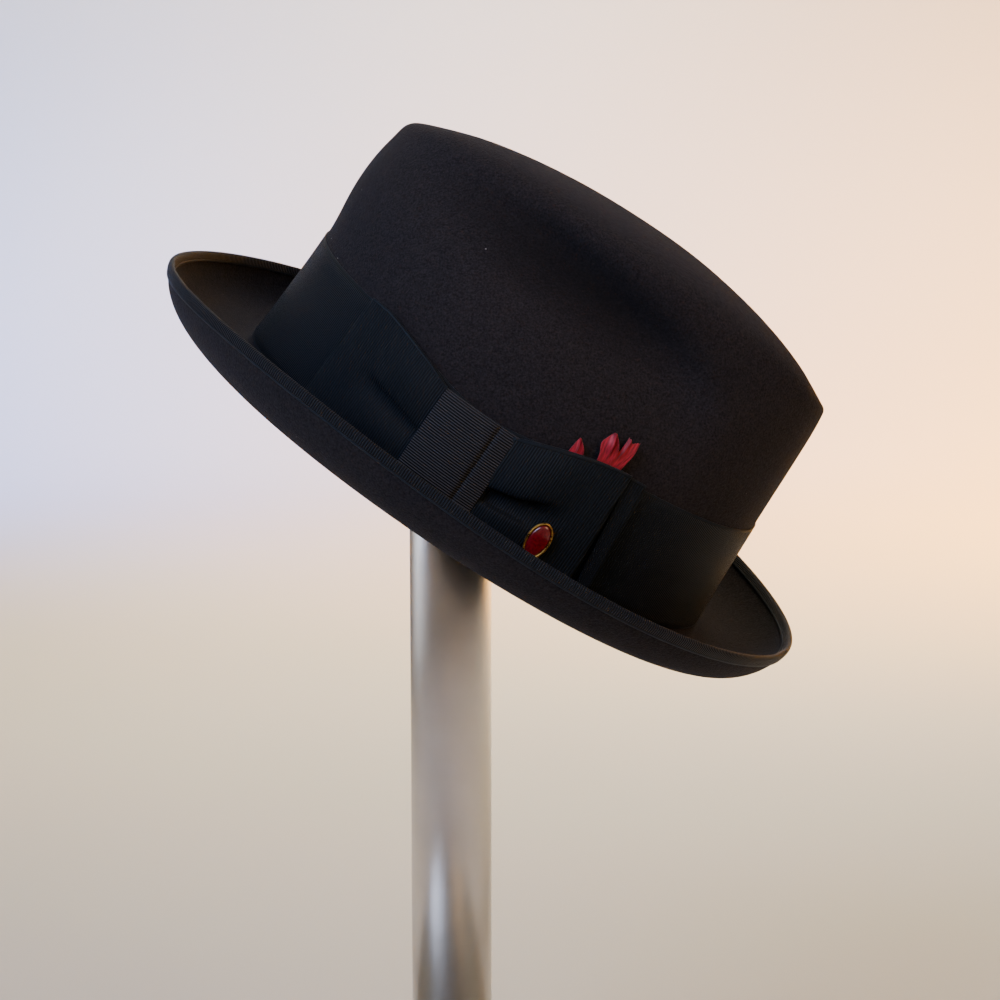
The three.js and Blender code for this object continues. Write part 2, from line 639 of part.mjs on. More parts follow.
const hat = new THREE.Group();
hat.position.set(HAT_FORWARD, 0, HAT_HEIGHT);
hat.rotation.y = HAT_TILT;
hat.add(
  piece('felt_body', feltGeometry(), FELT_COLOUR, 0.95),
  piece('brim_binding', bindingGeometry(), RIBBON_COLOUR, 0.8),
  piece('crown_ribbon', bandGeometry(), RIBBON_COLOUR, 0.7),
  piece('bow_back_wing', wingGeometry(-1, BACK_WING_LENGTH, 0), RIBBON_COLOUR, 0.7),
  piece('bow_front_wing', wingGeometry(1, FRONT_WING_LENGTH, FRONT_WING_SLANT), RIBBON_COLOUR, 0.7),
  piece('bow_tail', tailGeometry(), RIBBON_COLOUR, 0.7),
  piece('bow_knot', knotGeometry(), KNOT_COLOUR, 0.75),
);
for (const feather of FEATHERS) hat.add(piece(feather.name, featherGeometry(feather), FEATHER_COLOUR, 0.6));

const pin = new THREE.Group();
pin.applyMatrix4(pinFrame());
pin.add(piece('pin_setting', pinRimGeometry(), GILT_COLOUR, 0.3, 1));
pin.add(piece('pin_enamel', pinEnamelGeometry(), ENAMEL_COLOUR, 0.15));
hat.add(pin);

const group = new THREE.Group();
group.add(hat);
group.add(piece('stand_foot', footGeometry(), CHROME_COLOUR, 0.15, 1));
group.add(piece('stand_post', postGeometry(), CHROME_COLOUR, 0.1, 1));

export default group;
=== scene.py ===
# %% [markdown]
# # A felt fedora on a chrome display stand
# This lesson dresses a imported CAD model. The CAD gives every piece its place and size, in metres, so
# nothing is fitted by eye here. Each cell builds one piece or one finish, and says what the real thing is.
# The first cell loads the CAD model.

# %% Load the CAD model
import math

import bmesh
import bpy
from mathutils import Matrix, Vector
from mathutils.bvhtree import BVHTree
from mathutils.kdtree import KDTree


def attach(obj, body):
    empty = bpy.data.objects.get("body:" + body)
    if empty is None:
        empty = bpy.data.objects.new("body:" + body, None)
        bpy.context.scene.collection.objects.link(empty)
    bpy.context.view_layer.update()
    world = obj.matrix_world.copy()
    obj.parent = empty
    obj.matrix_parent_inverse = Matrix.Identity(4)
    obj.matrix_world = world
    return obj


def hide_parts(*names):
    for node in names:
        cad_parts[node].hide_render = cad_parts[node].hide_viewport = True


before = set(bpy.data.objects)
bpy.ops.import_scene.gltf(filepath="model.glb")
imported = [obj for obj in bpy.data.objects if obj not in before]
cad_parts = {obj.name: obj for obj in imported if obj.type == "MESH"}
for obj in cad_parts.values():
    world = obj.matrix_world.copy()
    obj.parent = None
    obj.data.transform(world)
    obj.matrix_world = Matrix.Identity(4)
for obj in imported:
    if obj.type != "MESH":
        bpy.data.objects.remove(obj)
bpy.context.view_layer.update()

MM = 0.001
print("CAD nodes:", len(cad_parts))

# %% [markdown]
# ## The hat's own frame
# A hat maker works with the hat level on the bench. The stand holds it tipped, so the script keeps one
# matrix for that tip. Pieces are shaped level, with +X to the front, +Z up and the bow on the -Y side.
# They are turned into place only when their mesh is done.

# %% The tip of the hat
TIP = math.radians(34.1)
HAT_AHEAD = 9
HAT_HEIGHT = 290
HAT = Matrix.Translation((HAT_AHEAD * MM, 0, HAT_HEIGHT * MM)) @ Matrix.Rotation(TIP, 4, "Y")
LEVEL = HAT.inverted()
print("the hat's brim break sits at", [round(n, 3) for n in HAT.translation])

# %% [markdown]
# ## Colour and node helpers
# A designer picks colours as sRGB hex values, but a shader adds light in linear numbers, so one function
# turns one into the other. A second function adds a node with its settings and its links in one line,
# which keeps each material short enough to read. Noise stays near the middle of its range, so a colour
# ramp's two stops are drawn in to where the noise really lies.

# %% Colour and nodes
RAMP_STOPS = (0.3, 0.7)


def linear(hex_colour):
    channels = [int(hex_colour[i:i + 2], 16) / 255 for i in (1, 3, 5)]
    return (*[c / 12.92 if c <= 0.04045 else ((c + 0.055) / 1.055) ** 2.4 for c in channels], 1)


def add(tree, kind, inputs=None, ramp=None, **settings):
    node = tree.nodes.new("ShaderNode" + kind)
    for key, value in settings.items():
        setattr(node, key, value)
    for key, value in (inputs or {}).items():
        if isinstance(value, bpy.types.NodeSocket):
            tree.links.new(value, node.inputs[key])
        else:
            node.inputs[key].default_value = value
    for stop, position, colour in zip(node.color_ramp.elements if ramp else (), RAMP_STOPS, ramp or ()):
        stop.position = position
        stop.color = linear(colour)
    return node


def new_material(name, **shader):
    material = bpy.data.materials.new(name)
    material.use_nodes = True
    tree = material.node_tree
    surface = tree.nodes["Principled BSDF"]
    for key, value in shader.items():
        surface.inputs[key.replace("_", " ")].default_value = value
    return material, tree, surface


print("felt black in linear light:", [round(c, 4) for c in linear("#1A181A")[:3]])

# %% [markdown]
# ## Finish: fur felt
# The hat is fur felt: fine animal fibres matted, blocked over a form and brushed. It has no thread and no
# grain, only a fine nap that scatters light. So the material is rough and dark, with a little sheen for the
# fibre ends that catch light at a slant. Three sizes of noise vary it: the nap itself, the clumps that a
# brush leaves, and the broad wear of handling. A few flecks of lint lie on it, as on any dark felt in use.
# In the photo the dent in the crown's side lies in deep shade, and this studio's soft light gives less of
# it. So a soft long shape, set in the hat's own frame, darkens the felt there. It is painted shade, not a
# part of the finish: with DENT_SHADE at 0 the felt is even, and the dent is still there in the mesh.

# %% Fur felt
NAP = 0.75 * MM
CLUMP = 4 * MM
HANDLING = 45 * MM
LINT_SPACING = 15 * MM
DENT_MIDDLE = Vector((6, 0, 95))
DENT_REACH = Vector((72, 250, 18))
DENT_SHADE = 1


def fur_felt():
    material, tree, surface = new_material(
        "fur_felt_brushed", Roughness=0.9, Sheen_Weight=0.08, Sheen_Roughness=0.5,
        Sheen_Tint=linear("#A6A6B6"), Specular_IOR_Level=0.12)
    place = add(tree, "TexCoord").outputs["Object"]
    nap = add(tree, "TexNoise", {"Vector": place, "Scale": 1 / NAP, "Detail": 3.0, "Roughness": 0.65})
    clump = add(tree, "TexNoise", {"Vector": place, "Scale": 1 / CLUMP, "Detail": 4.0, "Roughness": 0.6})
    broad = add(tree, "TexNoise", {"Vector": place, "Scale": 1 / HANDLING, "Detail": 2.0})
    fine = add(tree, "ValToRGB", {"Fac": nap.outputs["Fac"]}, ramp=("#08080A", "#302D30"))
    worn = add(tree, "ValToRGB", {"Fac": broad.outputs["Fac"]}, ramp=("#131315", "#1E1B1C"))
    mixed = add(tree, "MixRGB", {"Fac": 0.3, "Color1": fine.outputs["Color"],
                                 "Color2": worn.outputs["Color"]})
    dent = add(tree, "Mapping", {"Vector": place, "Location": HAT @ (DENT_MIDDLE * MM),
                                 "Rotation": (0, TIP, 0), "Scale": DENT_REACH * MM}, vector_type="TEXTURE")
    hollow = add(tree, "TexGradient", {"Vector": dent.outputs["Vector"]}, gradient_type="SPHERICAL")
    share = add(tree, "Math", {0: hollow.outputs["Fac"], 1: DENT_SHADE}, operation="MULTIPLY")
    shaded = add(tree, "MixRGB", {"Fac": share.outputs[0], "Color1": mixed.outputs["Color"],
                                  "Color2": linear("#040508")})
    lint = add(tree, "TexVoronoi", {"Vector": place, "Scale": 1 / LINT_SPACING})
    fleck = add(tree, "MapRange", {"Value": lint.outputs["Distance"], "From Min": 0.014,
                                   "From Max": 0.02, "To Min": 0.8, "To Max": 0.0})
    dusty = add(tree, "MixRGB", {"Fac": fleck.outputs["Result"], "Color1": shaded.outputs["Color"],
                                 "Color2": linear("#8D8A86")})
    tree.links.new(dusty.outputs["Color"], surface.inputs["Base Color"])
    relief = add(tree, "MixRGB", {"Fac": 0.4, "Color1": nap.outputs["Fac"], "Color2": clump.outputs["Fac"]})
    bump = add(tree, "Bump", {"Height": relief.outputs["Color"], "Distance": 0.7 * MM, "Strength": 0.9})
    tree.links.new(bump.outputs["Normal"], surface.inputs["Normal"])
    return material


FELT = fur_felt()
print("made", FELT.name)

# %% [markdown]
# ## Finish: grosgrain ribbon
# Hat ribbon is grosgrain: a thick weft under a dense warp gives ribs straight across the band, a little
# under a millimetre apart, and a firm woven edge, the selvedge. The ribs have to follow the ribbon round the
# hat, so this material reads each piece's own map. The map is in metres: X runs along the ribbon, and Y is
# the distance in from the nearer edge, so the material can raise a smooth cord along both edges. The hat has
# three of these ribbons: the blue-black band and bow, a knot worn to charcoal, and a black edge binding.

# %% Grosgrain
RIB = 0.9 * MM
SELVEDGE = 0.8 * MM


def grosgrain(name, dark, light, relief=0.32 * MM):
    material, tree, surface = new_material(
        name, Roughness=0.6, Sheen_Weight=0.03, Sheen_Roughness=0.4, Specular_IOR_Level=0.16)
    weave = add(tree, "UVMap", uv_map="weave").outputs["UV"]
    parts = add(tree, "SeparateXYZ", {"Vector": weave}).outputs
    turns = add(tree, "Math", {0: parts["X"], 1: 2 * math.pi / RIB}, operation="MULTIPLY")
    wave = add(tree, "Math", {0: turns.outputs[0]}, operation="COSINE")
    rib = add(tree, "Math", {0: wave.outputs[0], 1: 0.5, 2: 0.5}, operation="MULTIPLY_ADD")
    border = add(tree, "MapRange", {"Value": parts["Y"], "From Min": SELVEDGE,
                                    "From Max": SELVEDGE + RIB / 3, "To Min": 1.0, "To Max": 0.0})
    groove = add(tree, "Math", {0: border.outputs["Result"], 1: 0.5, 2: 0.49}, operation="COMPARE")
    height = add(tree, "MixRGB", {"Fac": border.outputs["Result"], "Color1": rib.outputs[0],
                                  "Color2": (0.75, 0.75, 0.75, 1)})
    dip = add(tree, "Math", {0: groove.outputs[0], 1: -0.9, 2: height.outputs["Color"]},
              operation="MULTIPLY_ADD")
    thread = add(tree, "Mapping", {"Vector": weave, "Scale": (0.7 / RIB, 3.0 / RIB, 1)})
    warp = add(tree, "TexNoise", {"Vector": thread.outputs["Vector"], "Scale": 1.0, "Detail": 2.0})
    broad = add(tree, "TexNoise", {"Vector": weave, "Scale": 1 / (12 * MM), "Detail": 2.0})
    # The colour follows the height of the weave. Rib crests and the edge cord are drawn lighter, and the rib
    # troughs and the groove between cord and ribs darker. That is painted shade of the relief, under the
    # random thread tone and broad tone added next.
    painted_rib_shade = add(tree, "Math", {0: dip.outputs[0], 1: 0.8, 2: -0.16}, operation="MULTIPLY_ADD")
    spot = add(tree, "Math", {0: warp.outputs["Fac"], 1: 0.25, 2: painted_rib_shade.outputs[0]},
               operation="MULTIPLY_ADD")
    share = add(tree, "Math", {0: broad.outputs["Fac"], 1: 0.2, 2: spot.outputs[0]},
                operation="MULTIPLY_ADD")
    colour = add(tree, "ValToRGB", {"Fac": share.outputs[0]}, ramp=(dark, light))
    tree.links.new(colour.outputs["Color"], surface.inputs["Base Color"])
    lumpy = add(tree, "Math", {0: warp.outputs["Fac"], 1: 0.3, 2: dip.outputs[0]},
                operation="MULTIPLY_ADD")
    bump = add(tree, "Bump", {"Height": lumpy.outputs[0], "Distance": relief, "Strength": 1.0})
    tree.links.new(bump.outputs["Normal"], surface.inputs["Normal"])
    return material


RIBBON = grosgrain("grosgrain_blue_black", "#01050A", "#0C161E", relief=0.22 * MM)
KNOT_RIBBON = grosgrain("grosgrain_charcoal", "#020203", "#3A3C41")
BINDING_RIBBON = grosgrain("grosgrain_edge_black", "#010103", "#1B222B")
print("made", RIBBON.name, KNOT_RIBBON.name, "and", BINDING_RIBBON.name)

# %% [markdown]
# ## Finish: feather, gilt, enamel and chrome
# The feather tips are dyed crimson, with barbs that run out from the shaft, and a satin shine. The pin is
# gilt brass round a drop of red enamel, which is glass fused on metal: smooth, deep and clear-coated. The
# stand is drawn as satin chrome plate, brushed before it was plated, so it shows the room only as a soft
# blur. That is a guess, because the photo's post is out of focus.

# %% Feather, gilt, enamel and chrome
BARB = 0.5 * MM


def dyed_feather():
    material, tree, surface = new_material(
        "feather_dyed_crimson", Roughness=0.5, Sheen_Weight=0.1, Specular_IOR_Level=0.35)
    place = add(tree, "UVMap", uv_map="weave").outputs["UV"]
    stretch = add(tree, "Mapping", {"Vector": place, "Scale": (1 / BARB, 0.12 / BARB, 1)})
    barbs = add(tree, "TexNoise", {"Vector": stretch.outputs["Vector"], "Scale": 1.0, "Detail": 2.0})
    colour = add(tree, "ValToRGB", {"Fac": barbs.outputs["Fac"]}, ramp=("#5A0514", "#AE1930"))
    tree.links.new(colour.outputs["Color"], surface.inputs["Base Color"])
    bump = add(tree, "Bump", {"Height": barbs.outputs["Fac"], "Distance": 0.2 * MM})
    tree.links.new(bump.outputs["Normal"], surface.inputs["Normal"])
    return material


def gilt_brass():
    material, tree, surface = new_material("gilt_brass_polished", Metallic=1.0)
    place = add(tree, "TexCoord").outputs["Object"]
    wear = add(tree, "TexNoise", {"Vector": place, "Scale": 1 / (1.5 * MM), "Detail": 3.0})
    colour = add(tree, "ValToRGB", {"Fac": wear.outputs["Fac"]}, ramp=("#8A6226", "#C79C4C"))
    tree.links.new(colour.outputs["Color"], surface.inputs["Base Color"])
    rough = add(tree, "MapRange", {"Value": wear.outputs["Fac"], "To Min": 0.2, "To Max": 0.38})
    tree.links.new(rough.outputs["Result"], surface.inputs["Roughness"])
    return material


def red_enamel():
    material, tree, surface = new_material(
        "enamel_deep_red", Roughness=0.2, Coat_Weight=0.6, Coat_Roughness=0.06, IOR=1.5)
    place = add(tree, "TexCoord").outputs["Object"]
    cloud = add(tree, "TexNoise", {"Vector": place, "Scale": 1 / (0.8 * MM), "Detail": 2.0})
    colour = add(tree, "ValToRGB", {"Fac": cloud.outputs["Fac"]}, ramp=("#4C050E", "#7A0D1A"))
    tree.links.new(colour.outputs["Color"], surface.inputs["Base Color"])
    return material


def chrome_plate():
    material, tree, surface = new_material("chrome_plate_satin", Metallic=1.0)
    place = add(tree, "TexCoord").outputs["Object"]
    handled = add(tree, "TexNoise", {"Vector": place, "Scale": 1 / (35 * MM), "Detail": 4.0})
    colour = add(tree, "ValToRGB", {"Fac": handled.outputs["Fac"]}, ramp=("#D0CCC4", "#E0DDD6"))
    tree.links.new(colour.outputs["Color"], surface.inputs["Base Color"])
    rough = add(tree, "MapRange", {"Value": handled.outputs["Fac"], "To Min": 0.26, "To Max": 0.34})
    tree.links.new(rough.outputs["Result"], surface.inputs["Roughness"])
    return material


FEATHER = dyed_feather()
GILT = gilt_brass()
ENAMEL = red_enamel()
CHROME = chrome_plate()
print("made", [m.name for m in (FEATHER, GILT, ENAMEL, CHROME)])

# %% [markdown]
# ## From a bmesh to a piece
# One function does that.

# %% Finish a piece
def make_piece(bm, name, material, nodes, wall=0, rounding=0, offset=-1):
    for face in bm.faces:
        face.smooth = True
    mesh = bpy.data.meshes.new(name)
    bm.to_mesh(mesh)
    bm.free()
    mesh.materials.append(material)
    piece = bpy.data.objects.new(name, mesh)
    bpy.context.scene.collection.objects.link(piece)
    if wall:
        solid = piece.modifiers.new("wall", "SOLIDIFY")
        solid.thickness = wall
        solid.offset = offset
    if rounding:
        soft = piece.modifiers.new("rounding", "SUBSURF")
        soft.levels = soft.render_levels = rounding
    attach(piece, "root")
    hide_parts(*nodes)
    print(name, "has", len(mesh.polygons), "faces before its modifiers")
    return piece


def copy_of(node):
    bm = bmesh.new()
    bm.from_mesh(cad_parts[node].data)
    bmesh.ops.remove_doubles(bm, verts=bm.verts, dist=0.02 * MM)
    bmesh.ops.join_triangles(
        bm, faces=bm.faces, angle_face_threshold=math.radians(60), angle_shape_threshold=math.pi)
    return bm


# %% [markdown]
# ## The felt cap
# Crown and brim are one piece of felt, blocked to shape with steam. The CAD node already has that shape as
# a coarse grid of rings, so a copy of it is merged and given a subdivision surface. That rounds the grid
# the way felt rounds, with no crease that a hand would not have made.

# %% Felt cap
felt = make_piece(copy_of("felt_body"), "felt_cap", FELT, ["felt_body"], rounding=2)

# %% [markdown]
# ## Laying cloth on the crown
# The ribbon and bow lie on the crown's wall. A ray shot level from the bow's side finds the wall at any
# place along it and any height, and the places round it give the slope, which says which way is out. So a
# flat grid of cloth can be laid on the wall, each corner lifted by as much as the fold needs.

# %% A point on the wall
bpy.context.view_layer.update()
smooth_felt = felt.evaluated_get(bpy.context.evaluated_depsgraph_get()).to_mesh()
smooth_felt.transform(LEVEL)
wall_bm = bmesh.new()
wall_bm.from_mesh(smooth_felt)
WALL = BVHTree.FromBMesh(wall_bm)
wall_bm.free()
INSIDE_BRIM = -100 * MM
WALL_FOOT = 4.6
SLOPE_REACH = 3


def on_wall(x, z, lift):
    """All in millimetres, in the hat's own frame: x along, z up and lift out from the felt."""
    def hit(along, up):
        start = Vector((along * MM, INSIDE_BRIM, max(up, WALL_FOOT) * MM))
        return WALL.ray_cast(start, Vector((0, 1, 0)))[0]

    along = hit(x + SLOPE_REACH, z) - hit(x - SLOPE_REACH, z)
    up = hit(x, z + SLOPE_REACH) - hit(x, z - SLOPE_REACH)
    return HAT @ (hit(x, z) + along.cross(up).normalized() * lift * MM)


def cloth(columns, rows, place):
    """A grid of cloth with a weave map in metres. place(u, v) gives its point and its map."""
    bm = bmesh.new()
    bmesh.ops.create_grid(bm, x_segments=columns, y_segments=rows, size=0.5)
    weave = bm.loops.layers.uv.new("weave")
    spots = {}
    for vert in bm.verts:
        u, v = vert.co.x + 0.5, vert.co.y + 0.5
        vert.co, spots[vert] = place(u, v)
    for face in bm.faces:
        for loop in face.loops:
            loop[weave].uv = spots[loop.vert]
    return bm


print("the wall beside the bow is at", [round(n, 4) for n in on_wall(3, 25, 0)])

# %% [markdown]
# ## Ribbon that runs right round
# The crown's ribbon and the brim's binding are ribbon half a millimetre thick. In the CAD they are thicker,
# so that they are sound solids. Only the outer skin of the CAD piece is taken: it is divided finely and laid
# back down on the felt, and gets its real thickness from a modifier.

# %% Lay a ring of ribbon
RIBBON_LIFT = 0.12
RIBBON_WALL = 0.42


def laid_ring(node):
    bm = copy_of(node)
    bm.normal_update()

    def felt_below(point):
        return HAT @ WALL.find_nearest(LEVEL @ point)[0]

    hidden = []
    for face in bm.faces:
        middle = face.calc_center_median()
        if (middle - felt_below(middle)).normalized().dot(face.normal) < 0.5:
            hidden.append(face)
    bmesh.ops.delete(bm, geom=hidden, context="FACES")
    bmesh.ops.subdivide_edges(bm, edges=bm.edges, cuts=3, use_grid_fill=True)
    for vert in bm.verts:
        felt_spot = felt_below(vert.co)
        vert.co = felt_spot + (vert.co - felt_spot).normalized() * RIBBON_LIFT * MM
    return bm


# %% [markdown]
# ## A map round a ring
# X of the ring's weave map is the length of its oval up to each point. Steps of that length are summed once
# round the oval, and the ribs then divide the ring into a whole count, so no seam shows. A face that crosses
# the start of the map is carried over by one full turn. Y is the distance to the nearest edge of the ribbon.

# %% The map round a ring
def ring_map(bm, half_length, half_width, shift):
    steps = 720
    lengths = [0.0]
    for k in range(steps):
        angle = (k + 0.5) / steps * 2 * math.pi
        step = math.hypot(half_length * math.sin(angle), half_width * math.cos(angle)) * 2 * math.pi / steps
        lengths.append(lengths[-1] + step * MM)
    total = lengths[-1]
    ribs = round(total / RIB)
    rim = [vert for vert in bm.verts if vert.is_boundary]
    edges = KDTree(len(rim))
    for k, vert in enumerate(rim):
        edges.insert(vert.co, k)
    edges.balance()
    weave = bm.loops.layers.uv.new("weave")
    for face in bm.faces:
        marks = []
        for vert in face.verts:
            p = LEVEL @ vert.co / MM
            angle = math.atan2(p.y / half_width, (p.x - shift) / half_length) % (2 * math.pi)
            spot = angle / (2 * math.pi) * steps
            low = min(int(spot), steps - 1)
            marks.append(lengths[low] + (lengths[low + 1] - lengths[low]) * (spot - low))
        if max(marks) - min(marks) > total / 2:
            marks = [m + total if m < total / 2 else m for m in marks]
        for loop, mark in zip(face.loops, marks):
            loop[weave].uv = (mark / total * ribs * RIB, edges.find(loop.vert.co)[2])
    print("a ring of", round(total / MM), "mm takes", ribs, "ribs")
    return bm


# %% [markdown]
# ## Crown ribbon and brim binding
# The ribbon is drawn tight round the crown. The binding is folded over the brim's edge and sewn through it.
# Each follows its own oval: half its length, half its width, and how far forward its middle lies.

# %% Ribbon and binding
BREAK_OVAL = (100, 82, 0)
EDGE_OVAL = (138.75, 124.25, -2.7)
band = ring_map(laid_ring("crown_ribbon"), *BREAK_OVAL)
make_piece(band, "crown_band", RIBBON, ["crown_ribbon"], wall=RIBBON_WALL * MM, offset=1)
binding = ring_map(laid_ring("brim_binding"), *EDGE_OVAL)
make_piece(binding, "edge_binding", BINDING_RIBBON, ["brim_binding"],
           wall=RIBBON_WALL * MM, offset=1)

# %% [markdown]
# ## Curves for the folds
# A fold is drawn as a few points of its section, and a smooth curve is run through them. The length of that
# curve is summed too, so that the ribs keep their spacing round a fold.

# %% Curves
def mix(a, b, share):
    return a + (b - a) * share


def ease(value, start, end):
    share = min(max((value - start) / (end - start), 0), 1)
    return share * share * (3 - 2 * share)


def along_path(points, share):
    spot = share * (len(points) - 1)
    k = min(int(spot), len(points) - 2)
    s = spot - k
    a, b, c, d = [points[min(max(k + n, 0), len(points) - 1)] for n in (-1, 0, 1, 2)]
    return [0.5 * (2 * q + (r - p) * s + (2 * p - 5 * q + 4 * r - t) * s * s
                   + (3 * q - p - 3 * r + t) * s ** 3)
            for p, q, r, t in zip(a, b, c, d)]


def lengths_along(points, rows):
    spots = [along_path(points, k / rows) for k in range(rows + 1)]
    lengths = [0.0]
    for before, after in zip(spots, spots[1:]):
        lengths.append(lengths[-1] + math.dist(before, after))
    return lengths


# %% [markdown]
# ## The bow's wings
# Each wing is a loop of ribbon pressed flat: it comes out from under the knot, folds, and goes back under.
# One grid runs along the whole loop, out on the outer layer and home on the inner. The knot gathers the
# ribbon, so beside it the outer layer stands up in two lobes, and the upper lobe hangs over the lower. Each
# gather is a section of height and lift in millimetres, and it fades out along the wing.

# %% Sections of the wings
KNOT_MIDDLE = 3
KNOT_HALF = 14.7
BOW_FOOT = 5.2
LOOP_INNER = 2.75
LOOP_OUTER = 3.75
TUCK = 2
WING_WIDTH = 44
FOLD_OPEN = 0.9
SLIT_DEPTH = 1.2
SLIT_HEIGHT = 19.5
SLIT_SPREAD = 6
WING_CLOTH = 0.42
BACK_GATHER = [(5.2, 3.9), (9.5, 4.9), (14, 5.3), (18, 4.7), (21, 3.3), (24, 3.4), (23.2, 4.9),
               (25.5, 5.5), (31, 5.7), (36, 5.1), (40.4, 4.1)]
FRONT_GATHER = [(5.2, 3.9), (9, 4.8), (12.2, 5.1), (14.9, 4.8), (16.0, 2.7), (20.4, 2.1), (24.8, 2.9),
                (23.4, 4.6), (21.3, 5.7), (23.2, 6.3), (28.5, 6.2), (35, 5.5), (40.6, 4.2)]
print("the front wing's slit is", round(FRONT_GATHER[8][0] - FRONT_GATHER[4][0], 1), "mm wide at the knot")

# %% [markdown]
# ## How a gather fades
# The shares below are shares of the way out along the wing: where the slit closes, where the gathered rows
# spread out evenly, and where the puff comes and goes. Under the slit the inner layer is pressed in, so that
# the slit stays dark.

# %% Wings of the bow
LAYER_STEEPNESS = 10.4
SLIT_CLOSES = (0.28, 0.55)
ROWS_SPREAD = (0.5, 1)
PUFF_AT_KNOT = 0.6
PUFF_RISES = (0.03, 0.2)
PUFF_FALLS = (0.3, 0.8)
DIP_ENDS = (0.6, 0.9)


def wing(name, node, way, top_edge, fold_edge, gather):
    """top_edge lists the height along the wing; fold_edge gives how far out the fold is, low and high."""
    start = KNOT_MIDDLE + way * (KNOT_HALF - TUCK)
    pressed = [(z, LOOP_OUTER) for z in sorted(z for z, lift in gather)]

    def place(u, v):
        turn = 2 * u
        out = math.sin(math.pi / 2 * turn)
        reach = abs(mix(*fold_edge, v) - start)
        top = along_path([(height, 0) for height in top_edge], out)[0]
        z = mix(BOW_FOOT, top, v)
        outer_share = 0.5 + 0.5 * math.tanh(LAYER_STEEPNESS * (1 - turn))
        lift = mix(LOOP_INNER, LOOP_OUTER, outer_share)
        lift += FOLD_OPEN * (1 - v) ** 2 * out ** 4
        if turn > 1:
            dip = math.exp(-((z - SLIT_HEIGHT) / SLIT_SPREAD) ** 2)
            lift -= SLIT_DEPTH * dip * (1 - ease(out, *DIP_ENDS))
        if turn < 1:
            gathered_z, gathered_lift = along_path(gather, v)
            gathered_z = mix(gathered_z, along_path(pressed, v)[0], ease(out, *SLIT_CLOSES))
            z = mix(gathered_z + v * (top - top_edge[0]), z, ease(out, *ROWS_SPREAD))
            puff = mix(PUFF_AT_KNOT, 1, ease(out, *PUFF_RISES)) * (1 - ease(out, *PUFF_FALLS))
            lift += (gathered_lift - LOOP_OUTER) * puff
        length = reach * (out if turn < 1 else 2 - out)
        return on_wall(start + way * reach * out, z, lift), (length * MM, min(v, 1 - v) * WING_WIDTH * MM)

    return make_piece(cloth(80, 72, place), name, RIBBON, [node], wall=WING_CLOTH * MM, offset=0)


wing("bow_wing_back", "bow_back_wing", way=-1, top_edge=[40.4, 43.4, 45.8, 47.8, 49.3, 49.2],
     fold_edge=(-55, -52.6), gather=BACK_GATHER)
wing("bow_wing_front", "bow_front_wing", way=1, top_edge=[40.8, 43.4, 46.0, 48.1, 49.6, 50.2],
     fold_edge=(57.2, 54.4), gather=FRONT_GATHER)

# %% [markdown]
# ## The knot
# The knot is a strip of the same ribbon, worn paler, wrapped once over the middle of the bow. Its ribs run
# level, because the strip itself runs up. Near its front edge it is doubled, which leaves a groove and a
# step. Its path is a section of height and lift, from its hidden lower end over the front and back down.

# %% Knot
KNOT_PATH = [(12, 1.75), (7, 1.75), (5.1, 3.1), (6.0, 5.0), (10, 5.7), (16, 6.1), (22, 6.3), (28, 6.2),
             (34, 5.8), (39.4, 5.0), (40.9, 3.4), (39.3, 1.75), (34, 1.75)]
KNOT_ROWS = 96
KNOT_LENGTHS = lengths_along(KNOT_PATH, KNOT_ROWS)
KNOT_CLOTH = 0.5
KNOT_FRONT = (2.5, 5)
KNOT_EDGE = 0.9
GROOVE_AT = 10.4
GROOVE_HALF = 0.75
GROOVE_DEPTH = 1.1
STEP_DOWN = 0.5
KNOT_MAP_START = 20


def knot_place(u, v):
    x = KNOT_MIDDLE + KNOT_HALF * (2 * u - 1)
    z, lift = along_path(KNOT_PATH, v)
    front = ease(lift, *KNOT_FRONT)
    groove = GROOVE_DEPTH * math.exp(-((x - GROOVE_AT) / GROOVE_HALF) ** 2)
    step = STEP_DOWN * ease(x, GROOVE_AT, GROOVE_AT + 1)
    lift *= mix(1, mix(KNOT_EDGE, 1, math.sin(math.pi * u) ** 0.6), front)
    lift -= front * (groove + step)
    return on_wall(x, z, lift), (KNOT_LENGTHS[round(v * KNOT_ROWS)] * MM, (x + KNOT_MAP_START) * MM)


make_piece(cloth(110, KNOT_ROWS, knot_place), "bow_middle_wrap", KNOT_RIBBON, ["bow_knot"],
           wall=KNOT_CLOTH * MM, offset=0)

# %% [markdown]
# ## The ribbon's end
# The end of the ribbon comes out beyond the front wing, as a slanted strip that stands a little free of the
# band, most of all at its foot. Each side of it is given as its place at the foot and at the top.

# %% Ribbon end
TAIL_LEFT = (60.2, 54.6)
TAIL_RIGHT = (64.3, 60.6)
TAIL_SHOWN = 6.3
TAIL_FOOT = 5.6
TAIL_TOP = 49.6
TAIL_LIFT = 2.4
TAIL_FLARE = (0.5, 0.9)
TAIL_CLOTH = 0.45


def tail_place(u, v):
    x = mix(mix(*TAIL_LEFT, v), mix(*TAIL_RIGHT, v), u)
    z = mix(TAIL_FOOT, TAIL_TOP, v)
    flare = mix(*TAIL_FLARE, u) * (1 - v)
    return on_wall(x, z, TAIL_LIFT + flare), (u * TAIL_SHOWN * MM, min(v, 1 - v) * WING_WIDTH * MM)


make_piece(cloth(16, 48, tail_place), "bow_ribbon_end", RIBBON, ["bow_tail"],
           wall=TAIL_CLOTH * MM, offset=0)

# %% [markdown]
# ## Feather tips
# Three trimmed, dyed feather tips stand behind the front wing. Each is a narrow vane, curled across its
# width and cut at the top, so it is a grid whose sides follow a table of widths and whose top is notched.

# %% Feathers
FEATHER_VANE = 0.25
FOLDED_RISE = 0.75
FRINGE_TEETH = 6


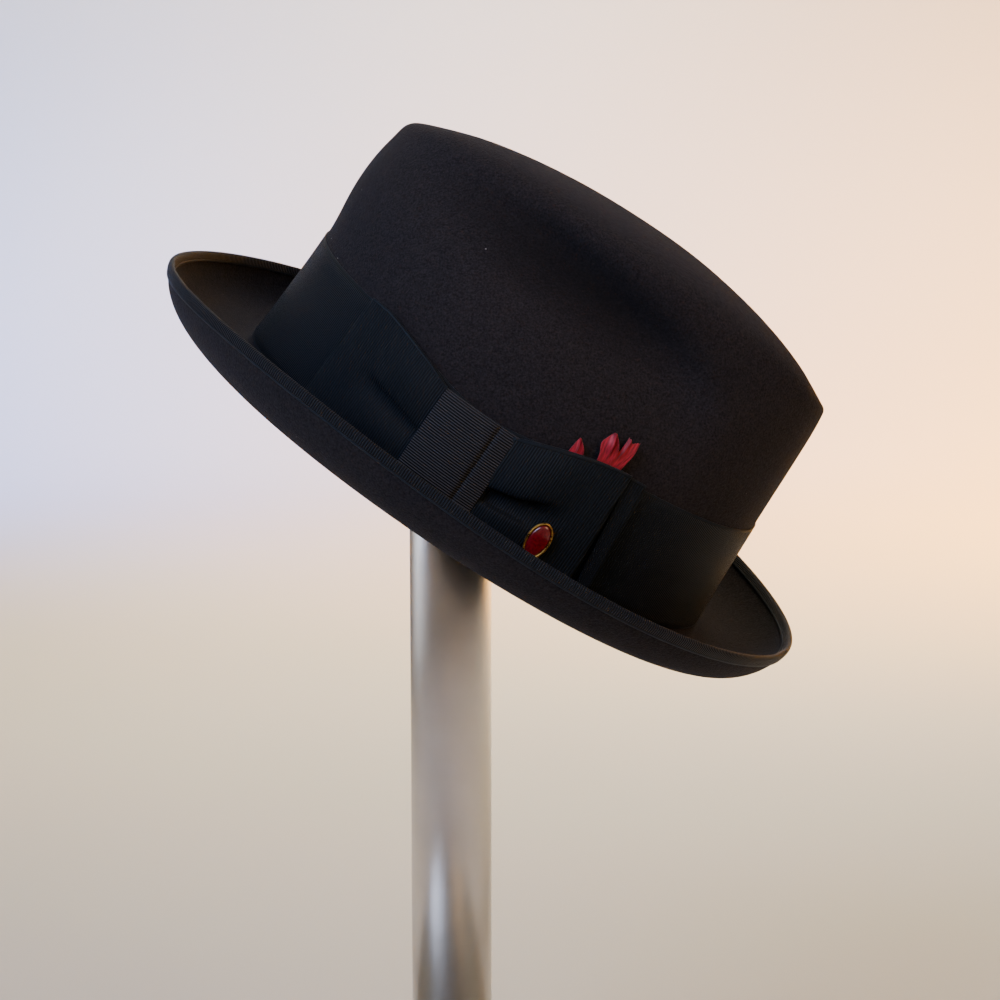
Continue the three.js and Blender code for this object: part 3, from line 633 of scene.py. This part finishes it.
def feather(name, node, spine, widths, seat, curl, slit=1.0, notch=0.0, fringe=0.0):
    """slit is where the vane is folded under, from -1 on its left edge to 1 on its right."""
    def place(u, v):
        x, z = along_path(spine, v)
        width = along_path([(w, 0) for w in widths], v)[0]
        side = 2 * u - 1
        z -= notch * (1 - abs(side)) ** 1.5 * ease(v, 0.7, 1)
        z -= fringe * abs(math.sin(math.pi * FRINGE_TEETH * u)) * ease(v, 0.8, 1)
        if side < slit:
            rise = ((side + 1) / (slit + 1)) ** 2
        else:
            rise = FOLDED_RISE * ((side - slit) / (1 - slit)) ** 0.7
        lift = seat + curl * rise * ease(v, 0.35, 0.7)
        return on_wall(x + side * width / 2, z, lift), (side * width / 2 * MM, z * MM)

    return make_piece(cloth(32, 40, place), name, FEATHER, [node],
                      wall=FEATHER_VANE * MM, offset=0)


feather("feather_tip_small", "feather_small",
        spine=[(36.4, 37), (35.9, 44), (35.4, 49), (34.0, 52.3)],
        widths=[5.5, 5.4, 4.0, 0.3], seat=1.7, curl=0.8, slit=0.1)
feather("feather_tip_leaf", "feather_leaf",
        spine=[(45, 39), (44.9, 47), (44.5, 51), (43.5, 54.6), (43.0, 57.2), (42.3, 59.6)],
        widths=[4.2, 4.3, 4.8, 6.0, 3.8, 0.3], seat=1.75, curl=2.0, slit=0.3)
feather("feather_tip_frayed", "feather_frayed",
        spine=[(48.6, 39), (48.6, 47), (48.8, 51), (49.1, 55), (49.1, 57.5), (48.8, 60.8)],
        widths=[4.0, 4.0, 4.2, 4.2, 4.0, 3.6], seat=1.7, curl=1.4, slit=-0.45, notch=1.3, fringe=0.35)

# %% [markdown]
# ## The pin
# A lapel-size pin holds the front wing: an oval gilt setting with a milled rim, filled with red enamel. A
# disc is inset and pressed down to make the dish, and the enamel is a dome spun from half a section.

# %% Pin
PIN_HALF = (4.4, 7.0)
PIN_SPOT = (41, 15)
PIN_LIFT = 4.98
PIN_WALL = 1.4
PIN_RIM = 0.75
PIN_BEADS = 52
ENAMEL_GAP = 0.15


def pin_frame():
    foot = LEVEL @ on_wall(*PIN_SPOT, 0)
    out = ((LEVEL @ on_wall(*PIN_SPOT, 5)) - foot).normalized()
    up = (Vector((0, 0, 1)) - out * out.z).normalized()
    axes = Matrix((up.cross(out), up, out)).transposed().to_4x4()
    axes.translation = foot + out * PIN_LIFT * MM
    return HAT @ axes


PIN = pin_frame()


def pin_setting():
    bm = bmesh.new()
    bmesh.ops.create_circle(bm, cap_ends=True, segments=64, radius=MM)
    bmesh.ops.scale(bm, vec=(*PIN_HALF, 1), verts=bm.verts)
    face = bm.faces[:]
    bm.normal_update()
    if face[0].normal.z < 0:
        bmesh.ops.reverse_faces(bm, faces=face)
    wall = bmesh.ops.extrude_face_region(bm, geom=face)
    top = [f for f in wall["geom"] if isinstance(f, bmesh.types.BMFace)]
    bmesh.ops.translate(bm, vec=(0, 0, PIN_WALL * MM), verts=[v for f in top for v in f.verts])
    bmesh.ops.inset_individual(bm, faces=top, thickness=PIN_RIM * MM, depth=0)
    bmesh.ops.inset_individual(bm, faces=top, thickness=0.1 * MM, depth=-0.75 * MM)
    rims = [e for e in bm.edges if e.calc_face_angle(0) > 0.5]
    bmesh.ops.bevel(bm, geom=rims, offset=0.18 * MM, segments=2, profile=0.5, material=-1, affect="EDGES")
    bmesh.ops.recalc_face_normals(bm, faces=bm.faces)
    for k in range(PIN_BEADS):
        angle = k / PIN_BEADS * 2 * math.pi
        across, along = [half - PIN_RIM / 2 for half in PIN_HALF]
        spot = Vector((across * math.cos(angle), along * math.sin(angle), PIN_WALL)) * MM
        bmesh.ops.create_icosphere(bm, subdivisions=1, radius=0.25 * MM, matrix=Matrix.Translation(spot))
    bmesh.ops.transform(bm, matrix=PIN, verts=bm.verts)
    return make_piece(bm, "pin_gilt_setting", GILT, ["pin_setting"])


def pin_enamel():
    bm = bmesh.new()
    half = PIN_HALF[0] - PIN_RIM - ENAMEL_GAP
    section = [(half, 0.75), (half, 1.2), (half - 0.5, 1.5), (half - 1.3, 1.75), (1.2, 1.9), (0, 1.95)]
    verts = [bm.verts.new(Vector((x, 0, z)) * MM) for x, z in section]
    edges = [bm.edges.new(pair) for pair in zip(verts, verts[1:])]
    bmesh.ops.spin(bm, geom=verts + edges, axis=(0, 0, 1), cent=(0, 0, 0), steps=64,
                   angle=2 * math.pi, use_merge=True)
    bmesh.ops.remove_doubles(bm, verts=bm.verts, dist=0.005 * MM)
    bmesh.ops.holes_fill(bm, edges=bm.edges, sides=0)
    bmesh.ops.scale(bm, vec=(1, (PIN_HALF[1] - PIN_RIM - ENAMEL_GAP) / half, 1), verts=bm.verts)
    bmesh.ops.recalc_face_normals(bm, faces=bm.faces)
    bmesh.ops.transform(bm, matrix=PIN, verts=bm.verts)
    return make_piece(bm, "pin_red_enamel", ENAMEL, ["pin_enamel"])


pin_setting()
pin_enamel()

# %% [markdown]
# ## The stand
# The stand is a chrome tube on a weighted disc, with an oval plate that carries the crown from inside. The
# CAD copies are true but many-sided, and chrome shows each side. So the post is extruded again from a fine
# circle and cut on the hat's slant, and the foot is spun from its section.

# %% Stand
FOOT_RADIUS = 90
FOOT_TOP = 10
POST_RADIUS = 16
PLATE_LOW = 86.4
PLATE_WALL = 3
PLATE_HALF = 50
PLATE_ROUND = 0.6
PLATE_BEHIND = 20
POST_GAP = 0.3


def stand_foot():
    bm = bmesh.new()
    section = [(0, 0), (FOOT_RADIUS - 1, 0), (FOOT_RADIUS, 1), (FOOT_RADIUS, FOOT_TOP - 3)]
    for k in range(1, 7):
        angle = k / 6 * math.pi / 2
        section.append((FOOT_RADIUS - 3 + 3 * math.cos(angle), FOOT_TOP - 3 + 3 * math.sin(angle)))
    section.append((0, FOOT_TOP))
    verts = [bm.verts.new(Vector((x, 0, z)) * MM) for x, z in section]
    edges = [bm.edges.new(pair) for pair in zip(verts, verts[1:])]
    bmesh.ops.spin(bm, geom=verts + edges, axis=(0, 0, 1), cent=(0, 0, 0), steps=128,
                   angle=2 * math.pi, use_merge=True)
    bmesh.ops.remove_doubles(bm, verts=bm.verts, dist=0.01 * MM)
    bmesh.ops.recalc_face_normals(bm, faces=bm.faces)
    return make_piece(bm, "stand_weighted_foot", CHROME, ["stand_foot"])


def stand_post():
    bm = bmesh.new()
    made = bmesh.ops.create_circle(bm, cap_ends=True, segments=96, radius=POST_RADIUS * MM)
    bmesh.ops.translate(bm, vec=(0, 0, (FOOT_TOP + POST_GAP) * MM), verts=made["verts"])
    wall = bmesh.ops.extrude_face_region(bm, geom=bm.faces[:])
    for vert in [v for v in wall["geom"] if isinstance(v, bmesh.types.BMVert)]:
        level = (PLATE_LOW + 0.5) * MM
        down = HAT.to_3x3() @ Vector((0, 0, 1))
        plane = HAT @ Vector((0, 0, level))
        vert.co.z = plane.z - ((vert.co.x - plane.x) * down.x + (vert.co.y - plane.y) * down.y) / down.z
    plate = bmesh.ops.create_circle(bm, cap_ends=True, segments=96, radius=PLATE_HALF * MM)
    bmesh.ops.scale(bm, vec=(1, PLATE_ROUND, 1), verts=plate["verts"])
    disc = list({f for v in plate["verts"] for f in v.link_faces})
    top = bmesh.ops.extrude_face_region(bm, geom=disc)
    high = [v for v in top["geom"] if isinstance(v, bmesh.types.BMVert)]
    bmesh.ops.translate(bm, vec=(0, 0, PLATE_WALL * MM), verts=high)
    run = (PLATE_LOW + HAT_AHEAD * math.sin(TIP)) / math.cos(TIP)
    behind = -HAT_AHEAD * math.cos(TIP) - run * math.sin(TIP)
    middle = Vector((behind + PLATE_HALF - PLATE_BEHIND, 0, PLATE_LOW)) * MM
    bmesh.ops.transform(bm, matrix=HAT @ Matrix.Translation(middle), verts=plate["verts"] + high)
    rims = [e for e in bm.edges if e.calc_face_angle(0) > 0.5 and e.verts[0] in plate["verts"] + high]
    bmesh.ops.bevel(bm, geom=rims, offset=0.8 * MM, segments=3, profile=0.5, material=-1, affect="EDGES")
    bmesh.ops.recalc_face_normals(bm, faces=bm.faces)
    return make_piece(bm, "stand_chrome_post", CHROME, ["stand_post"])


stand_foot()
stand_post()

# %% [markdown]
# ## The studio
# A round cove gives the same pale ground and wall from every side: a profile of floor, curve and wall is
# spun once round the object. It stands far enough away for every camera to be inside it.

# %% Floor and cove
COVE_RADIUS = 3.0
COVE_CURVE = 0.8
COVE_HEIGHT = 3.2


def studio_cove():
    bm = bmesh.new()
    profile = [(0, 0), (COVE_RADIUS - COVE_CURVE, 0)]
    for k in range(1, 13):
        angle = k / 12 * math.pi / 2
        profile.append((COVE_RADIUS - COVE_CURVE + COVE_CURVE * math.sin(angle),
                        COVE_CURVE - COVE_CURVE * math.cos(angle)))
    profile.append((COVE_RADIUS, COVE_HEIGHT))
    verts = [bm.verts.new((x, 0, z)) for x, z in profile]
    edges = [bm.edges.new(pair) for pair in zip(verts, verts[1:])]
    bmesh.ops.spin(bm, geom=verts + edges, axis=(0, 0, 1), cent=(0, 0, 0), steps=96,
                   angle=2 * math.pi, use_merge=True)
    bmesh.ops.remove_doubles(bm, verts=bm.verts, dist=0.001)
    for face in bm.faces:
        face.smooth = True
    mesh = bpy.data.meshes.new("studio_cove")
    bm.to_mesh(mesh)
    bm.free()
    cove = bpy.data.objects.new("studio_cove", mesh)
    bpy.context.scene.collection.objects.link(cove)
    paint, tree, surface = new_material("paint_pale_matt", Roughness=0.9)
    place = add(tree, "TexCoord").outputs["Object"]
    cloud = add(tree, "TexNoise", {"Vector": place, "Scale": 0.8, "Detail": 2.0})
    colour = add(tree, "ValToRGB", {"Fac": cloud.outputs["Fac"]}, ramp=("#BDB9B2", "#C5C1BA"))
    tree.links.new(colour.outputs["Color"], surface.inputs["Base Color"])
    mesh.materials.append(paint)


studio_cove()

# %% [markdown]
# ## Camera and light
# The camera stands where the photograph was taken: a little right of the bow's side, a little above the
# hat, with a 72 mm lens. A large cool window is high on the left, a warm lamp is on the right, and a soft
# light hangs behind, over the crown. The other lights only wash the floor and the walls, cool on the left
# and warm on the right, so that the dark felt stands out.

# %% Camera and lights
CAMERA_BACK = Vector((0.2348, -0.9625, 0.1359)).normalized()

camera_data = bpy.data.cameras.new("camera")
camera_data.lens = 72
camera_data.sensor_width = 36
camera_data.clip_start = 0.01
camera_data.clip_end = 50
camera = bpy.data.objects.new("camera", camera_data)
bpy.context.scene.collection.objects.link(camera)
camera.location = (0.2021, -0.7467, 0.3864)
camera.rotation_euler = CAMERA_BACK.to_track_quat("Z", "Y").to_euler()
bpy.context.scene.camera = camera


def soft_light(name, spot, size, watts, colour, aim=(0, 0, 0.33), spread=180):
    data = bpy.data.lights.new(name, "AREA")
    data.shape = "RECTANGLE"
    data.size, data.size_y = size
    data.energy = watts
    data.color = linear(colour)[:3]
    light = bpy.data.objects.new(name, data)
    bpy.context.scene.collection.objects.link(light)
    light.location = spot
    light.rotation_euler = (Vector(spot) - Vector(aim)).to_track_quat("Z", "Y").to_euler()
    data.spread = math.radians(spread)
    light.visible_camera = False
    return light


soft_light("window_cool", (-0.5, -1.1, 1.3), (0.9, 0.8), 4.2, "#C2D2FF", spread=70)
soft_light("lamp_warm", (1.3, -0.75, 1.0), (0.7, 1.0), 3.5, "#FFCE96", spread=90)
soft_light("ceiling_soft", (0.1, 0.8, 1.9), (1.4, 0.8), 2.5, "#FFF4E6")
soft_light("floor_soft", (-0.1, 1.1, 1.7), (1.2, 0.8), 19, "#FFEBC4", (-0.1, 1.1, 0), spread=80)
soft_light("wall_wash_cool", (-1.8, 1.2, 1.5), (0.8, 0.8), 36, "#6CA2FF", (-1.2, 2.2, 0.2), spread=80)
soft_light("wall_wash_warm", (1.0, 1.5, 1.6), (0.8, 0.8), 105, "#FFB23C", (0.5, 2.2, 0.2), spread=90)
soft_light("wall_wash_front", (-1.5, -1.2, 1.9), (0.8, 0.8), 45, "#DCE8FF", (-2.5, -1.9, 1.0), spread=140)
soft_light("wall_wash_high", (-0.3, 1.2, 2.3), (0.8, 0.8), 45, "#FFF8EE", (-0.6, 3.0, 1.2), spread=90)

world = bpy.data.worlds.new("room")
world.use_nodes = True
world.node_tree.nodes["Background"].inputs["Color"].default_value = linear("#E6ECF2")
world.node_tree.nodes["Background"].inputs["Strength"].default_value = 0.24
bpy.context.scene.world = world
print("camera at", [round(n, 3) for n in camera.location])
